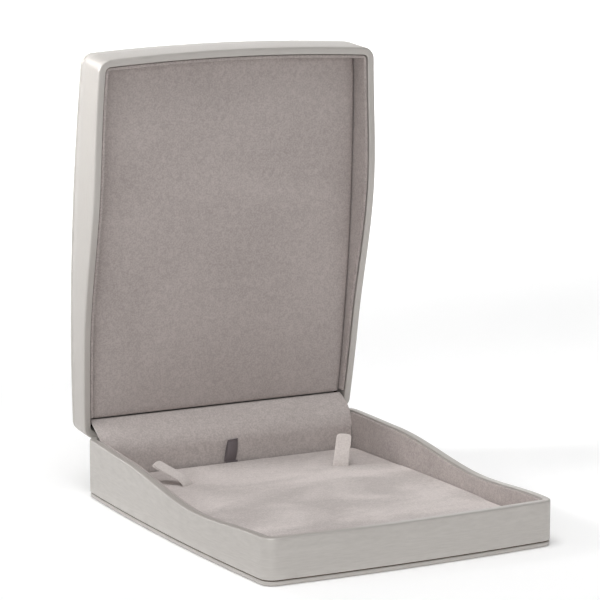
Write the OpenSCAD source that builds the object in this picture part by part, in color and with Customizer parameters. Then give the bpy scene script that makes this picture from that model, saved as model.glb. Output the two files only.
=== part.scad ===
// Necklace presentation case: wrapped base and hinged lid, lift-out pad, two neck tabs and a pull ribbon.
// X runs along the hinge, Y runs from the front to the hinge, Z is up.
// The origin is the middle of the underside. The lid is modelled closed and swung to its open rest.

/* [Case] */
// Width of the case along the hinge, at the middle of its bowed sides
case_w = 170; // [140:1:240]
// Depth of the case from the middle of the bowed front to the back
case_d = 210; // [175:1:300]
// Height of the base at the hinge, board included
base_h = 32.1; // [26:0.5:48]
// Height of the lid at the hinge, board included
lid_h = 16; // [13:0.1:24]
// How far each side bows out at its middle
side_bow = 3.4; // [1:0.1:6]
// How far the front bows out at its middle
front_bow = 3.1; // [1:0.1:6]
// Radius of the upright corners
corner_r = 7; // [6.5:0.5:12]
// Angle that the lid stands open at
lid_open = 85; // [60:1:90]
// Gap between the two rims when the lid is shut
rim_gap = 0.3; // [0.2:0.05:1]

/* [Rim wave] */
// Drop of the front rim below the rim at the hinge
front_drop = 8.3; // [4:0.1:12]
// Drop of the lowest point of the side rim
dip_drop = 11; // [6:0.1:14]
// Distance of that lowest point in front of the middle
dip_y = 33; // [20:1:50]
// Drop of the shoulder where the side rim flattens out
shoulder_drop = 1.9; // [0.5:0.1:3]
// Distance of the shoulder behind the middle
shoulder_y = 55; // [40:1:75]
// Length of the level stretch behind the front corners
front_level = 11; // [6:1:20]

/* [Walls] */
// Thickness of the wrap on the walls
wrap_t = 0.6; // [0.4:0.1:1]
// Thickness of the wooden wall frames
frame_t = 2.7; // [2:0.1:4]
// Thickness of the lining cards with their suede
lining_t = 2; // [1.2:0.1:3]
// How far a lining card stops short of the rim
lining_drop = 1.2; // [0.6:0.1:3]
// Depth of the wrap's turn-in below the rim
turn_in = 9; // [6:0.5:11]
// Thickness of the outer boards under the base and on the lid
board_t = 2.6; // [1.8:0.1:4]
// Height of the shadow groove between a board and the wrap
groove_h = 0.6; // [0.3:0.1:1.2]
// How far the boards stand in from the walls
board_inset = 0.2; // [0:0.1:1]
// Glue line between pieces that are stuck together
glue = 0.05; // [0.02:0.01:0.1]

/* [Pad] */
// Height of the ring that the pad rests on
rest_h = 3; // [2:0.5:6]
// Width of that ring
rest_w = 8; // [5:0.5:14]
// Thickness of the pad's board
pad_board_t = 2; // [1.5:0.1:3]
// Thickness of the pad's foam
pad_foam_t = 4; // [3:0.5:8]
// Thickness of the suede covers
cover_t = 0.8; // [0.5:0.1:1.2]
// Clearance round the pad and the lid's panel
pad_clear = 0.4; // [0.3:0.1:1]
// Distance of the hinge cover's front face from the inside of the back wall
cover_gap = 6.8; // [6.6:0.1:10]
// Gap behind the pad, where the ribbon comes up
ribbon_gap = 1.5; // [1.2:0.1:3]

/* [Lid panel] */
// Depth of the panel's face inside the lid, at the hinge
panel_recess = 2.5; // [1:0.1:4]
// Distance of the panel's edge from the inside of the walls
panel_gap = 6.2; // [5.6:0.1:10]
// Thickness of the panel's board
panel_board_t = 2; // [1.5:0.1:3]

/* [Neck tabs] */
// Width of a tab
tab_w = 8.4; // [6:0.2:12]
// Thickness of a tab's two plies
tab_t = 1.2; // [0.8:0.1:1.4]
// Free length of the left tab
tab_left_len = 20; // [12:0.5:24]
// Free length of the right tab
tab_right_len = 17; // [12:0.5:24]
// Distance of each tab from the middle line
tab_x = 47; // [30:1:56]
// Distance of the tabs behind the middle
tab_y = 53; // [30:1:60]
// Lean of the left tab away from upright
tab_left_lean = 62; // [0:1:80]
// Lean of the right tab away from upright
tab_right_lean = 24; // [0:1:80]
// Turn of the tab slits from the hinge line
slit_turn = 45; // [0:5:60]

/* [Pull ribbon] */
// Width of the ribbon
ribbon_w = 6.8; // [4:0.2:12]
// Thickness of the folded ribbon
ribbon_t = 1; // [0.6:0.1:1.2]
// Height of the ribbon above its fold
ribbon_len = 11; // [8:0.5:16]

/* [Hinge] */
// Distance of each end of the hinge from the side of the case
hinge_margin = 12; // [11:0.5:35]
// Depth of the hinge line below the base's rim
hinge_drop = 2; // [1.7:0.1:3]
// Radius of the hinge pin
pin_r = 0.8; // [0.6:0.1:1]
// Radius of the hinge knuckles
knuckle_r = 1.6; // [1.4:0.1:2]
// Number of knuckles
knuckles = 5; // [3:2:9]
// Running clearance of the pin in the knuckles
pin_play = 0.05; // [0.03:0.01:0.1]
// Gap between neighbouring knuckles
knuckle_gap = 0.4; // [0.3:0.1:1]
// Thickness of the hinge leaves
leaf_t = 0.8; // [0.5:0.1:1]
// Length of each leaf from the hinge line
leaf_len = 11; // [8:0.5:11.5]
// Radius of the brads that fix the leaves
brad_r = 0.6; // [0.5:0.1:0.8]
// Width of each snap spring
spring_w = 8; // [5:0.5:12]
// Thickness of each snap spring
spring_t = 0.4; // [0.3:0.1:0.6]

/* [Hidden] */

// Steps on the bowed sides, the front and each corner, and on each span of the rim
side_n = 12;
front_n = 6;
corner_n = 6;
rim_n = 8;
far = 400;

wall_t = frame_t + 2 * wrap_t + 2 * glue;
lining_in = wall_t + glue;
inner_in = lining_in + lining_t;
pad_in = inner_in + pad_clear;
min_r = 1.2;

// Heights, with the lid shut
base_wrap_z = board_t + groove_h;
closed_h = base_h + rim_gap + lid_h;
lid_board_z = closed_h - board_t;
lid_wrap_z = lid_board_z - groove_h;
panel_z = base_h + rim_gap + panel_recess;
back_y = case_d / 2;
hinge_y = back_y;
hinge_len = case_w - 2 * hinge_margin;
hinge_z = base_h - hinge_drop;

// Pad levels, from the ring up
rest_z = board_t + glue;
pad_z = rest_z + rest_h + glue;
foam_z = pad_z + pad_board_t + glue;
pad_top = foam_z + pad_foam_t + glue + cover_t;
cover_inset = wall_t + cover_gap;
panel_inset = wall_t + panel_gap;
pad_back = cover_inset + ribbon_gap;

// Fold lines of the tabs and the ribbon stand this far over the pad
fold_r = 0.75;
fold_lift = fold_r + 0.3;
fold_z = pad_top + fold_lift;
slit_clear = 0.15;
ribbon_y = back_y - pad_back + ribbon_gap / 2;

// Circles of the bowed sides and the bowed front
side_r = (pow(case_d / 2, 2) + pow(side_bow, 2)) / (2 * side_bow);
front_r = (pow(case_w / 2, 2) + pow(front_bow, 2)) / (2 * front_bow);

function arc_at(c, r, a0, a1, n) =
    [for (i = [0:n - 1]) let (a = a0 + (a1 - a0) * i / n) c + r * [cos(a), sin(a)]];
function toward(p, q) = atan2(q.y - p.y, q.x - p.x);

// The crossing of two circles that lies to the right and in front
function front_cross(c1, r1, c2, r2) =
    let (d = norm(c2 - c1), u = (c2 - c1) / d, a = (r1 * r1 - r2 * r2 + d * d) / (2 * d))
    c1 + a * u + sqrt(r1 * r1 - a * a) * [u.y, -u.x];

// Right half of the plan, set in by t at the walls and by tb at the back
function half_plan(t, tb, r) =
    let (cs = [case_w / 2 - side_r, 0], cf = [0, front_r - case_d / 2],
        rs = side_r - t, rf = front_r - t, yb = back_y - tb,
        kb = [cs.x + sqrt(pow(rs - r, 2) - pow(yb - r, 2)), yb - r],
        kf = front_cross(cs, rs - r, cf, rf - r),
        ab = toward(cs, kb), af = toward(cs, kf), ac = toward(cf, kf))
    concat(arc_at(kb, r, 90, ab, corner_n), arc_at(cs, rs, ab, af, side_n),
        arc_at(kf, r, af, ac, corner_n), arc_at(cf, rf, ac, -90, front_n));

function plan(t, tb, r) =
    let (h = half_plan(t, tb, r), n = len(h))
    concat(h, [[0, -(case_d / 2 - t)]], [for (i = [n - 1:-1:0]) [-h[i].x, h[i].y]]);

// Height of the rim along a side, as three smooth spans
function span(y0, h0, s0, y1, h1, s1) =
    [for (i = [0:rim_n - 1]) let (t = i / rim_n, w = y1 - y0)
        [y0 + t * w, (2 * t * t * t - 3 * t * t + 1) * h0 + (t * t * t - 2 * t * t + t) * w * s0
            + (3 * t * t - 2 * t * t * t) * h1 + (t * t * t - t * t) * w * s1]];
shoulder_slope = 0.03;
back_slope = 0.02;
rim_pts = concat([[-far, base_h - front_drop]],
    span(front_level - case_d / 2, base_h - front_drop, 0, -dip_y, base_h - dip_drop, 0),
    span(-dip_y, base_h - dip_drop, 0, shoulder_y, base_h - shoulder_drop, shoulder_slope),
    span(shoulder_y, base_h - shoulder_drop, shoulder_slope, back_y, base_h, back_slope),
    [[back_y, base_h], [far, base_h]]);

// Straight-sided body of the plan between two heights
module slab(t, z0, z1, tb = undef, r = undef) {
    back = is_undef(tb) ? t : tb;
    round = is_undef(r) ? max(corner_r - t, min_r) : r;
    translate([0, 0, z0]) linear_extrude(z1 - z0) polygon(plan(t, back, round));
}

module ring(t0, t1, z0, z1) {
    difference() {
        slab(t0, z0, z1);
        slab(t1, z0 - 1, z1 + 1);
    }
}

// Everything under the rim, or over it, shifted up by dz
module under_rim(dz) {
    rotate([90, 0, 90]) linear_extrude(far, center = true)
        polygon(concat([for (p = rim_pts) p + [0, dz]], [[far, -far], [-far, -far]]));
}

module over_rim(dz) {
    rotate([90, 0, 90]) linear_extrude(far, center = true)
        polygon(concat([for (p = rim_pts) p + [0, dz]], [[far, far], [-far, far]]));
}

module in_lid() {
    translate([0, hinge_y, hinge_z]) rotate([-lid_open, 0, 0])
        translate([0, -hinge_y, -hinge_z]) children();
}

// A block from corner to corner
module block(a, b) {
    translate(a) cube(b - a);
}

// A bar of round stock along X, centred
module rod_x(r, l) {
    rotate([0, 90, 0]) cylinder(h = l, r = r, center = true, $fn = 32);
}

/* Outer shells */

// Room for the hinge in the back wall of the base
leaf_y0 = hinge_y - leaf_t - 1;
leaf_room = 0.1;
channel_r = norm([leaf_t + 1, hinge_drop]) + 0.2;

module hinge_room() {
    translate([0, hinge_y, hinge_z]) rod_x(channel_r, hinge_len + 1);
}

module leaf_slot(z0, z1) {
    block([-hinge_len / 2 - leaf_room, leaf_y0 - leaf_room, z0],
        [hinge_len / 2 + leaf_room, leaf_y0 + leaf_t + leaf_room, z1]);
}

// Brads sit in rows along the middle of each leaf
brad_step = hinge_len / 4;
brad_xs = [-1.5, -0.5, 0.5, 1.5] * brad_step;
base_brad_z = hinge_z - leaf_len * 0.65;
lid_brad_z = hinge_z + leaf_len * 0.65;

module brads(r, z, extra) {
    for (x = brad_xs)
        translate([x, back_y - wrap_t - glue - extra, z]) rotate([90, 0, 0])
            cylinder(h = frame_t - 2 * extra, r = r, $fn = 24);
}

module base_board() {
    color("#b9b7b4") slab(board_inset, 0, board_t);
}

module base_frame() {
    color("#a98c66") difference() {
        intersection() {
            ring(wrap_t + glue, wall_t - wrap_t - glue, board_t + glue, base_h + 1);
            under_rim(-wrap_t - glue);
        }
        hinge_room();
        leaf_slot(hinge_z - leaf_len - leaf_room, base_h + 1);
        brads(brad_r + glue, base_brad_z, -1);
    }
}

module base_wrap() {
    color("#b4b3b1") difference() {
        intersection() {
            ring(0, wall_t, base_wrap_z, base_h + 1);
            under_rim(0);
        }
        intersection() {
            ring(wrap_t, wall_t - wrap_t, 0, base_h + 1);
            under_rim(-wrap_t);
        }
        intersection() {
            slab(wall_t - wrap_t - glue, 0, base_h + 1);
            under_rim(-turn_in);
        }
        hinge_room();
        leaf_slot(hinge_z, base_h + 1);
    }
}

module lid_board() {
    color("#cfccc8") in_lid() slab(board_inset, lid_board_z, closed_h);
}

module lid_frame() {
    color("#a98c66") in_lid() difference() {
        intersection() {
            ring(wrap_t + glue, wall_t - wrap_t - glue, 0, lid_board_z - glue);
            over_rim(rim_gap + wrap_t + glue);
        }
        leaf_slot(hinge_z, hinge_z + leaf_len + leaf_room);
        brads(brad_r + glue, lid_brad_z, -1);
    }
}

module lid_wrap() {
    color("#cfccc8") in_lid() difference() {
        intersection() {
            ring(0, wall_t, 0, lid_wrap_z);
            over_rim(rim_gap);
        }
        intersection() {
            ring(wrap_t, wall_t - wrap_t, 0, closed_h);
            over_rim(rim_gap + wrap_t);
        }
        intersection() {
            slab(wall_t - wrap_t - glue, 0, closed_h);
            over_rim(rim_gap + turn_in);
        }
        leaf_slot(hinge_z, hinge_z + leaf_len);
    }
}

/* Linings */

// Where the front lining meets the side linings
lining_joint = corner_r + 3;

module base_lining() {
    intersection() {
        ring(lining_in, inner_in, board_t + glue, base_h);
        under_rim(-lining_drop);
    }
}

module lid_lining() {
    intersection() {
        ring(lining_in, inner_in, 0, lid_board_z - glue);
        over_rim(rim_gap + lining_drop);
    }
}

module side_part(s, y1) {
    intersection() {
        children();
        block([s < 0 ? -far : 1, lining_joint - case_d / 2 + 0.1, -1],
            [s < 0 ? -1 : far, y1, far]);
    }
}

module front_part() {
    intersection() {
        children();
        block([-far, -far, -1], [far, lining_joint - case_d / 2, far]);
    }
}

base_lining_end = back_y - inner_in - min_r;
lid_lining_end = back_y - panel_inset;

module base_lining_left() {
    color("#8d827c") side_part(-1, base_lining_end) base_lining();
}

module base_lining_right() {
    color("#8d827c") side_part(1, base_lining_end) base_lining();
}

module base_lining_front() {
    color("#8d827c") front_part() base_lining();
}

module lid_lining_left() {
    color("#8d827c") in_lid() side_part(-1, lid_lining_end) lid_lining();
}

module lid_lining_right() {
    color("#8d827c") in_lid() side_part(1, lid_lining_end) lid_lining();
}

module lid_lining_front() {
    color("#8d827c") in_lid() front_part() lid_lining();
}

/* Pad */

module pad_rest() {
    color("#c8b89a") difference() {
        slab(pad_in, rest_z, rest_z + rest_h, pad_back);
        slab(pad_in + rest_w, 0, base_h, pad_back + rest_w, min_r);
    }
}

// Slit axes, turned from the hinge line in mirror image
module at_slit(s) {
    translate([s * tab_x, tab_y, 0]) rotate([0, 0, -s * slit_turn]) children();
}

module tab_slits() {
    for (s = [-1, 1]) at_slit(s)
        block([-tab_w / 2 - slit_clear, -tab_t / 2 - slit_clear, 0],
            [tab_w / 2 + slit_clear, tab_t / 2 + slit_clear, base_h]);
}

pad_core_in = pad_in + cover_t + glue;

module pad_board() {
    color("#c8b89a") difference() {
        slab(pad_core_in, pad_z, pad_z + pad_board_t, pad_back + cover_t + glue);
        tab_slits();
    }
}

module pad_foam() {
    color("#e6e2d8") difference() {
        slab(pad_core_in, foam_z, foam_z + pad_foam_t, pad_back + cover_t + glue);
        tab_slits();
    }
}

module pad_cover() {
    color("#c4b9b3") difference() {
        slab(pad_in, pad_z, pad_top, pad_back);
        slab(pad_in + cover_t, pad_z - 1, pad_top - cover_t, pad_back + cover_t);
        tab_slits();
    }
}

/* Neck tabs and ribbon */

module tab_anchor(s) {
    color("#bfb4ae") at_slit(s)
        block([-tab_w / 2, -tab_t / 2, pad_z], [tab_w / 2, tab_t / 2, pad_top - glue]);
}

module tab_anchor_left() {
    tab_anchor(-1);
}

module tab_anchor_right() {
    tab_anchor(1);
}

// A flat strap that stands up from its fold line
module strap(w, t, l) {
    rod_x(fold_r, w);
    block([-w / 2, -t / 2, 0], [w / 2, t / 2, l]);
}

module neck_tab(s, l, lean) {
    color("#cbc1bb") at_slit(s) translate([0, 0, fold_z]) rotate([-lean, 0, 0]) strap(tab_w, tab_t, l);
}

module neck_tab_left() {
    neck_tab(-1, tab_left_len, tab_left_lean);
}

module neck_tab_right() {
    neck_tab(1, tab_right_len, tab_right_lean);
}

ribbon_ply = 0.5;

module ribbon_anchor() {
    color("#7d7078") block([-ribbon_w / 2, back_y - pad_back + glue, pad_z],
        [ribbon_w / 2, back_y - pad_back + glue + ribbon_ply, pad_top]);
}

module pull_ribbon() {
    color("#8b7f87") translate([0, ribbon_y, fold_z]) strap(ribbon_w, ribbon_t, ribbon_len);
}

/* Hinge */

knuckle_l = hinge_len / knuckles;

// Knuckles of one leaf: the base has the even ones and the lid has the odd ones
module knuckle_row(first) {
    for (i = [first:2:knuckles - 1])
        translate([(i + 0.5) * knuckle_l - hinge_len / 2, hinge_y, hinge_z])
            rod_x(knuckle_r, knuckle_l - knuckle_gap);
}

// A leaf that stands clear of the other leaf's knuckles and joins its own
module leaf(first, up) {
    clear_z = knuckle_r + 0.4;
    difference() {
        union() {
            knuckle_row(first);
            translate([0, 0, hinge_z]) mirror([0, 0, up ? 0 : 1]) {
                block([-hinge_len / 2, leaf_y0, clear_z], [hinge_len / 2, leaf_y0 + leaf_t, leaf_len]);
                for (i = [first:2:knuckles - 1])
                    translate([(i + 0.5) * knuckle_l - hinge_len / 2, 0, 0])
                        block([-(knuckle_l - knuckle_gap) / 2, leaf_y0, 0],
                            [(knuckle_l - knuckle_gap) / 2, leaf_y0 + leaf_t, clear_z + 1]);
            }
        }
        translate([0, hinge_y, hinge_z]) rod_x(pin_r + pin_play, hinge_len + 2);
        brads(brad_r + glue, up ? lid_brad_z : base_brad_z, -1);
    }
}

module hinge_leaf_base() {
    color("#c9cbcd") leaf(0, false);
}

module hinge_leaf_lid() {
    color("#c9cbcd") in_lid() leaf(1, true);
}

module hinge_pin() {
    color("#d8dadc") translate([0, hinge_y, hinge_z]) rod_x(pin_r, hinge_len);
}

module hinge_brads_base() {
    color("#b8a06a") brads(brad_r, base_brad_z, 0);
}

module hinge_brads_lid() {
    color("#b8a06a") in_lid() brads(brad_r, lid_brad_z, 0);
}

// A strip of thickness t along a path in the YZ plane, w wide along X
function side_step(path, i) =
    let (a = path[max(i - 1, 0)], b = path[min(i + 1, len(path) - 1)], d = (b - a) / norm(b - a))
    [-d.y, d.x];
module strip(path, t, w) {
    left = [for (i = [0:len(path) - 1]) path[i] + side_step(path, i) * t / 2];
    right = [for (i = [len(path) - 1:-1:0]) path[i] - side_step(path, i) * t / 2];
    rotate([90, 0, 90]) linear_extrude(w, center = true) polygon(concat(left, right));
}

// Each spring runs up the back wall, round the joint and into the lid
spring_off = wall_t + 0.65;
spring_bend = 4.2;
spring_leg = 8;
spring_y = back_y - spring_off;
spring_c = [spring_y + spring_bend, hinge_z
    + (spring_off - spring_bend - (spring_off - spring_bend) * cos(lid_open)) / sin(lid_open)];
spring_end = spring_c + spring_bend * [-cos(lid_open), sin(lid_open)];
spring_path = concat([[spring_y, hinge_z - 11]],
    arc_at(spring_c, spring_bend, 180, 180 - lid_open, 6),
    [spring_end, spring_end + spring_leg * [sin(lid_open), cos(lid_open)]]);

module snap_spring(s) {
    color("#d8dadc") translate([s * (hinge_len / 2 - spring_w / 2), 0, 0])
        strip(spring_path, spring_t, spring_w);
}

module snap_spring_left() {
    snap_spring(-1);
}

module snap_spring_right() {
    snap_spring(1);
}

// The suede hinge cover rises behind the pad and bends back under the lid's panel
cover_y = back_y - cover_inset + cover_t / 2;
cover_w = case_w - 2 * (inner_in + side_bow + 0.7);
function lid_point(a, z) = [hinge_y - a * cos(lid_open) + (z - hinge_z) * sin(lid_open),
    hinge_z + a * sin(lid_open) + (z - hinge_z) * cos(lid_open)];
cover_end = lid_point(panel_inset - cover_t - 0.2, panel_z + 1.4);
function bezier(a, b, c, d, n) =
    [for (i = [0:n]) let (t = i / n, u = 1 - t)
        u * u * u * a + 3 * u * u * t * b + 3 * u * t * t * c + t * t * t * d];
cover_path = concat([[cover_y, board_t + 2]],
    bezier([cover_y, hinge_z - 8], [cover_y, hinge_z + 1], cover_end - [7.5, 3.2], cover_end, 10));

module hinge_cover() {
    color("#a79d97") strip(cover_path, cover_t, cover_w);
}

/* Lid panel */

module panel_slab(t, z0, z1) {
    slab(t, z0, z1, panel_inset + t - pad_in);
}

panel_board_z = lid_board_z - glue - panel_board_t;

module lid_panel_board() {
    color("#c8b89a") in_lid() panel_slab(pad_core_in, panel_board_z, panel_board_z + panel_board_t);
}

module lid_panel_foam() {
    color("#e6e2d8") in_lid() panel_slab(pad_core_in, panel_z + cover_t + glue, panel_board_z - glue);
}

module lid_panel_cover() {
    color("#a0958f") in_lid() difference() {
        panel_slab(pad_in, panel_z, lid_board_z - glue);
        panel_slab(pad_in + cover_t, panel_z + cover_t, lid_board_z + 1);
    }
}

base_board();
base_frame();
base_wrap();
base_lining_left();
base_lining_right();
base_lining_front();
pad_rest();
pad_board();
pad_foam();
pad_cover();
tab_anchor_left();
tab_anchor_right();
ribbon_anchor();
neck_tab_left();
neck_tab_right();
pull_ribbon();
hinge_leaf_base();
hinge_leaf_lid();
hinge_pin();
hinge_brads_base();
hinge_brads_lid();
snap_spring_left();
snap_spring_right();
hinge_cover();
lid_board();
lid_frame();
lid_wrap();
lid_lining_left();
lid_lining_right();
lid_lining_front();
lid_panel_board();
lid_panel_foam();
lid_panel_cover();
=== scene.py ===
"""Looks of an open necklace presentation case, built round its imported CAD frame.

Sizes are in millimetres in the case's own frame: X along the hinge, Y from the front towards the
hinge, Z up, origin in the middle of the underside. Meshes are made in millimetres and scaled once.
The lid is made shut, in line with the base, and then turned open.
"""

import math

import bmesh
import bpy
import numpy as np
from mathutils import Matrix, Vector


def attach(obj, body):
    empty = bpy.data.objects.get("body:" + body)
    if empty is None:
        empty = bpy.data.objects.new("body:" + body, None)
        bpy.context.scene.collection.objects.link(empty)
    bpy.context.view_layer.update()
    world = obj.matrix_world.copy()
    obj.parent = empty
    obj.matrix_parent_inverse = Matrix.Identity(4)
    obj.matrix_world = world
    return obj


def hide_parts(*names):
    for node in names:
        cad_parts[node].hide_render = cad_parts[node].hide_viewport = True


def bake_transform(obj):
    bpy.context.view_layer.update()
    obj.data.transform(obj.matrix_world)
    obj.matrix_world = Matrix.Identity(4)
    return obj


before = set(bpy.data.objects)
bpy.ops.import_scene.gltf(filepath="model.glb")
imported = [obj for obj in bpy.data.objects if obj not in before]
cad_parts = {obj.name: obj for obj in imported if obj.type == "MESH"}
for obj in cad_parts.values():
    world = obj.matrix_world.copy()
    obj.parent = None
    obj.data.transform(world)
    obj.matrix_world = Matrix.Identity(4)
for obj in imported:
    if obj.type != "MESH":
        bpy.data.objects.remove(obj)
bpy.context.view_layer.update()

MM = 0.001

# The case's plan and heights
CASE_W = 170.0
CASE_D = 210.0
BACK_Y = CASE_D / 2
SIDE_BOW = 3.4
FRONT_BOW = 3.1
CORNER_R = 7.0
TIGHT_R = 1.2
WALL_T = 4.0
WRAP_T = 0.6
TURN_IN = 9.0
CLOSED_H = 48.4
BOARD_T = 2.6
BOARD_INSET = 0.2
GROOVE_H = 0.6
RIM_GAP = 0.3

# The rim's wave along the sides
RIM_WAVE = {
    "Front Height": 23.8,
    "Dip Height": 21.1,
    "Shoulder Height": 30.2,
    "Back Height": 32.1,
    "Front Place": -94.0,
    "Dip Place": -33.0,
    "Shoulder Place": 55.0,
    "Back Place": BACK_Y,
}
SHOULDER_SLOPE = 0.03
BACK_SLOPE = 0.02

# Linings, pad and panel
LINING_IN = 4.4
LINING_OUT = 6.05
LINING_DROP = 0.6
LINING_FOOT = 2.65
LINING_JOINT_Y = -95.0
LINING_END_Y = 97.75
PAD_IN = 6.45
PAD_BACK = 12.3
PAD_FOOT = 5.7
PAD_TOP = 12.25
PANEL_BACK = 10.2
PANEL_FACE = 34.9
PANEL_FOOT = 45.75
CLOTH_GRID = 2.0
HELD_EDGE = 2.6
HELD_DEPTH = 1.5
MOST_SWELL = 0.7
SKIN_GAP = 0.3
SLIT_DENT = 0.35

# Hinge, tabs and ribbon
HINGE_Z = 30.1
HINGE_LEN = 146.0
LEAF_Y0 = 103.2
LEAF_T = 0.8
LEAF_LEN = 11.0
LEAF_GAP = 0.1
BRAD_REACH = LEAF_LEN * 0.65
HINGE_ROOM_R = 2.89
LID_OPEN = 85.0
FOLD_Z = 13.65
TAB_X = 46.2
TAB_Y = 53.8
TAB_TURN = 45.0
SLIT_TURN = 32.0
TAB_W = 8.4
TAB_T = 0.56
PLY_OFF = 0.33
RIBBON_Y = 93.45
RIBBON_W = 6.8
RIBBON_T = 0.24
RIBBON_UP = 10.4
RIBBON_BOW = 1.0
RIBBON_LEAN = 0.17
RIBBON_TWIST = 14.0
COVER_Y = 94.6
COVER_W = 151.6
COVER_FLARE = 1.2
COVER_T = 0.8

# Brads: four to a leaf
BRAD_SIZES = {
    "Count": 4,
    "Spacing": HINGE_LEN / 4,
    "Shank Radius": 0.6,
    "Length": 2.7,
    "Head Radius": 0.95,
    "Head Height": 0.3,
}


def turned_about_hinge(degrees):
    """Turn about the hinge line, in millimetres."""
    there = Matrix.Translation((0, BACK_Y, HINGE_Z))
    return there @ Matrix.Rotation(math.radians(degrees), 4, "X") @ there.inverted()


def bow_radius(half, bow):
    """Radius of the circle that bows this far over this half width."""
    return (half ** 2 + bow ** 2) / (2 * bow)


SIDE_R = bow_radius(CASE_D / 2, SIDE_BOW)
FRONT_R = bow_radius(CASE_W / 2, FRONT_BOW)
OPENED = turned_about_hinge(-LID_OPEN)
TO_METRES = Matrix.Scale(MM, 4)


# Node trees


class Bench:
    """Adds and joins nodes in one tree, for geometry and for materials."""

    def __init__(self, tree):
        self.tree = tree
        self.step = 0

    def node(self, kind, inputs=None, **settings):
        made = self.tree.nodes.new(kind)
        made.location = (180 * (self.step % 12), -220 * (self.step // 12))
        self.step += 1
        for key, value in settings.items():
            setattr(made, key, value)
        for key, value in (inputs or {}).items():
            self.feed(made.inputs[key], value)
        return made

    def feed(self, socket, value):
        if isinstance(value, bpy.types.NodeSocket):
            self.tree.links.new(value, socket)
        else:
            socket.default_value = value

    def math(self, operation, a, b=0.0, c=0.0):
        made = self.node("ShaderNodeMath", operation=operation)
        for socket, value in zip(made.inputs, (a, b, c)):
            self.feed(socket, value)
        return made.outputs[0]

    def times(self, a, b):
        return self.math("MULTIPLY", a, b)

    def plus(self, a, b):
        return self.math("ADD", a, b)

    def minus(self, a, b):
        return self.math("SUBTRACT", a, b)

    def noise(self, vector, scale, detail=3.0, roughness=0.55, distortion=0.0):
        values = {"Vector": vector, "Scale": scale, "Detail": detail, "Roughness": roughness}
        return self.node("ShaderNodeTexNoise", {**values, "Distortion": distortion}).outputs["Fac"]

    def mix(self, factor, first, second):
        made = self.node("ShaderNodeMix", data_type="RGBA")
        for label, value in (("Factor", factor), ("A", first), ("B", second)):
            self.feed(made.inputs[label], value)
        return made.outputs["Result"]

    def ranged(self, value, low, high, to_low=0.0, to_high=1.0):
        ends = {"From Min": low, "From Max": high, "To Min": to_low, "To Max": to_high}
        return self.node("ShaderNodeMapRange", {"Value": value, **ends}).outputs["Result"]

    def closed(self, results):
        """Ends a group with its outputs and returns its tree."""
        self.node("NodeGroupOutput", results)
        return self.tree


def socket_in(tree, name, kind, value=None):
    made = tree.interface.new_socket(name=name, in_out="INPUT", socket_type=kind)
    if value is not None:
        made.default_value = value


def socket_out(tree, name, kind):
    tree.interface.new_socket(name=name, in_out="OUTPUT", socket_type=kind)


FLOAT = "NodeSocketFloat"
VECTOR = "NodeSocketVector"


def shader_group(name, inputs, outputs):
    """An empty shader group with its sockets; returns its bench and its inputs."""
    tree = bpy.data.node_groups.new(name, "ShaderNodeTree")
    for label, value in inputs.items():
        socket_in(tree, label, VECTOR if value is None else FLOAT, value)
    for label in outputs:
        socket_out(tree, label, FLOAT)
    bench = Bench(tree)
    return bench, bench.node("NodeGroupInput").outputs


# Shader groups that more than one finish uses


def strand_group():
    """Long fine strands along one way of the surface, with a finer tooth over them."""
    sizes = {"Vector": None, "Along": 60.0, "Across": 2600.0, "Tooth": 0.35}
    bench, given = shader_group("strand_grain", sizes, ["Tone", "Height"])
    split = bench.node("ShaderNodeSeparateXYZ", {0: given["Vector"]})
    joined = bench.node("ShaderNodeCombineXYZ")
    bench.feed(joined.inputs[0], bench.times(split.outputs[0], given["Along"]))
    bench.feed(joined.inputs[1], bench.times(split.outputs[1], given["Across"]))
    bench.feed(joined.inputs[2], bench.times(split.outputs[2], given["Across"]))
    strands = bench.noise(joined.outputs[0], 1.0, 3.0, 0.6, 0.2)
    tooth = bench.noise(given["Vector"], 3200.0, 2.0, 0.6)
    fine = bench.times(bench.minus(tooth, 0.5), given["Tooth"])
    return bench.closed({"Tone": strands, "Height": bench.plus(strands, fine)})


def nap_group():
    """Brushed suede: short fibres, small mottles and soft brushed patches."""
    sizes = {"Vector": None, "Fibre": 1150.0, "Mottle": 300.0, "Brush": 26.0, "Stretch": 0.45,
             "Patches": 0.8}
    bench, given = shader_group("suede_nap", sizes, ["Tone", "Patch", "Height"])
    fibre = bench.noise(given["Vector"], given["Fibre"], 3.0, 0.65)
    mottle = bench.noise(given["Vector"], given["Mottle"], 4.0, 0.62)
    split = bench.node("ShaderNodeSeparateXYZ", {0: given["Vector"]})
    leaned = bench.node("ShaderNodeCombineXYZ", {1: split.outputs[1], 2: split.outputs[2]})
    bench.feed(leaned.inputs[0], bench.times(split.outputs[0], given["Stretch"]))
    brush = bench.noise(leaned.outputs[0], given["Brush"], 2.5, 0.5, 0.7)
    patch = bench.ranged(brush, 0.4, 0.62)
    fine = bench.plus(bench.times(fibre, 0.72), bench.times(mottle, 0.28))
    lifted = bench.times(bench.minus(patch, 0.5), given["Patches"])
    tone = bench.plus(bench.ranged(fine, 0.41, 0.59), lifted)
    height = bench.plus(fibre, bench.times(mottle, 1.4))
    return bench.closed({"Tone": bench.ranged(tone, -0.4, 1.4), "Patch": patch, "Height": height})


def edge_wear_and_highlight_group():
    """Rubbed edges and a painted highlight: a mask of the outward edges, broken up so that it isn't even.
    """
    bench, given = shader_group("edge_wear_and_painted_highlight", {"Vector": None, "Amount": 0.5}, ["Mask"])
    edge = bench.ranged(bench.node("ShaderNodeNewGeometry").outputs["Pointiness"], 0.52, 0.62)
    broken = bench.ranged(bench.noise(given["Vector"], 90.0, 4.0, 0.6), 0.35, 0.65)
    return bench.closed({"Mask": bench.times(bench.times(edge, broken), given["Amount"])})


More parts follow.
